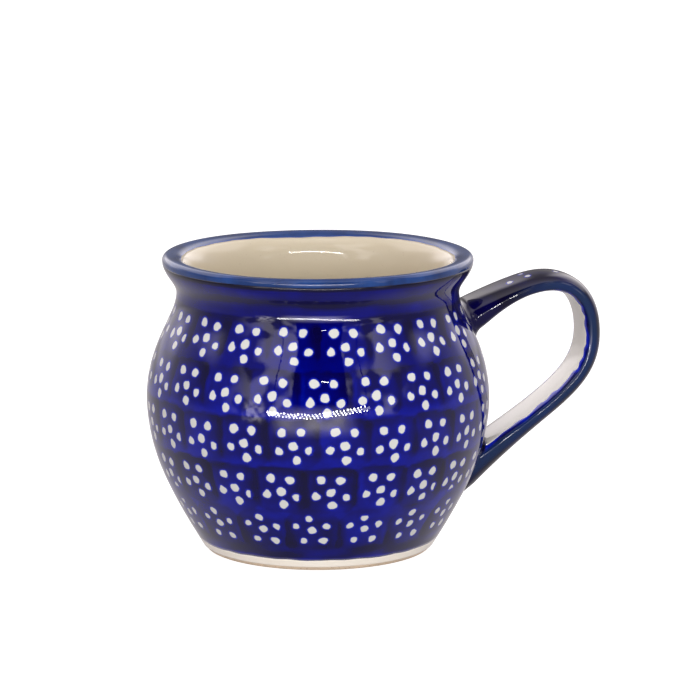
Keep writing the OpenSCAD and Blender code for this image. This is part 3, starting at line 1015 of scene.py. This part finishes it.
# the hanging strip of small lamps: degrees round the cup, and metres from its axis and above its foot
STRIP_FROM, STRIP_TO, STRIP_AWAY, STRIP_LIFT = -30, 34, 0.6, 0.046
STRIP_ROWS, LAMPS_PER_ROW = 3, 29
LAMP_PITCH, ROW_SLANT, ROW_SPACING = 2.2, 0.7, 1.5
STRIP_GLOW, HOLDER_GLOW = 95, 5
# the row of lamps over the mouth, in millimetres except for its tilt in degrees and its power in watts
MOUTH_LAMPS, MOUTH_ROW_HALF, MOUTH_ROW_SHIFT, MOUTH_ROW_HEIGHT = 24, 13.0, 1.0, 91.4
MOUTH_ROW_NEARER, MOUTH_LAMP_TILT, MOUTH_LAMP_POWER = 10.0, 70, 0.00022


def strip_rise(azimuth):
    """How high the hanging strip of lamps is, in degrees, along its length."""
    return 0.4 + (0.135 * (azimuth + 5) if azimuth > -5 else -0.04 * (azimuth + 5))


def lamp_quads(name, spots, strength):
    """Small upright lamps that only the gloss sees: centre, half width and half height in metres."""
    rightward = np.array([math.cos(turn), -math.sin(turn), 0.0])
    upward = np.array([0.0, 0.0, 1.0])
    points, faces = [], []
    for centre, half_width, half_height in spots:
        for x, z in ((-1, -1), (1, -1), (1, 1), (-1, 1)):
            points.append(np.array(centre) + rightward * x * half_width + upward * z * half_height)
        n = len(points)
        faces.append((n - 4, n - 1, n - 2, n - 3))
    mesh = bpy.data.meshes.new(name)
    mesh.from_pydata([tuple(p) for p in points], [], faces)
    quads = bpy.data.objects.new(name, mesh)
    scene.collection.objects.link(quads)
    glow, _, shader = material(name + "_glow")
    shader.inputs["Emission Color"].default_value = (1, 0.99, 0.97, 1)
    shader.inputs["Emission Strength"].default_value = strength
    mesh.materials.append(glow)
    quads.visible_camera = quads.visible_diffuse = quads.visible_shadow = False


def on_strip(azimuth, offset):
    """A place on the hanging strip, offset degrees above its middle."""
    x, y, z = facing(azimuth, strip_rise(azimuth) + offset, STRIP_AWAY)
    return x, y, z + STRIP_LIFT


def lamp_strip():
    """A slanting matrix of small lamps on its holder, and one more lamp above it."""
    half_width, half_height = 0.0044, 0.0042
    lamps = []
    for row in range(STRIP_ROWS):
        for k in range(LAMPS_PER_ROW):
            place = on_strip(STRIP_FROM + LAMP_PITCH * k - ROW_SLANT * row, ROW_SPACING * (row - 1))
            lamps.append((place, half_width, half_height))
    lamps.append((on_strip(5.4, 23.2), 0.021, 0.0017))
    holder = [(on_strip(azimuth, -0.05), 0.0052, 0.0084) for azimuth in range(STRIP_FROM, STRIP_TO)]
    lamp_quads("lamps", lamps, STRIP_GLOW)
    lamp_quads("lamp_holder", holder, HOLDER_GLOW)


def mouth_lamps():
    """Lamps over the mouth that face the back wall, so they show in its gloss and not on the front lip."""
    nearer = MOUTH_ROW_NEARER * MM
    for t in np.linspace(-1, 1, MOUTH_LAMPS):
        sideways = (MOUTH_ROW_SHIFT + MOUTH_ROW_HALF * t) * MM
        over = (MOUTH_ROW_HEIGHT + 1.5 * t - 1.9 * t * t) * MM
        light = bpy.data.lights.new("mouth_lamp", "AREA")
        light.shape = "RECTANGLE"
        light.size, light.size_y = 0.6 * MM, 1.1 * MM
        light.energy = MOUTH_LAMP_POWER
        lamp = bpy.data.objects.new("mouth_lamp", light)
        x = sideways * math.cos(turn) - nearer * math.sin(turn)
        y = -sideways * math.sin(turn) - nearer * math.cos(turn)
        lamp.location = (x, y, over)
        lamp.rotation_euler = (math.radians(MOUTH_LAMP_TILT), 0.0, -turn)
        lamp.visible_camera = lamp.visible_diffuse = False
        scene.collection.objects.link(lamp)


def front_lamp():
    """A large lamp that lights the glaze without showing in its gloss."""
    azimuth, elevation, distance = 9, 15, 1.2
    light = bpy.data.lights.new("front_lamp", "AREA")
    light.energy = 12.6
    light.size = 0.9
    light.color = (0.98, 1.0, 0.99)
    lamp = bpy.data.objects.new("front_lamp", light)
    lamp.location = facing(azimuth, elevation, distance)
    lamp.rotation_euler = (math.radians(90 - elevation), 0.0, math.radians(azimuth) - turn)
    lamp.visible_glossy = False
    scene.collection.objects.link(lamp)


pale_floor()
front_lamp()
tent()
lamp_strip()
mouth_lamps()
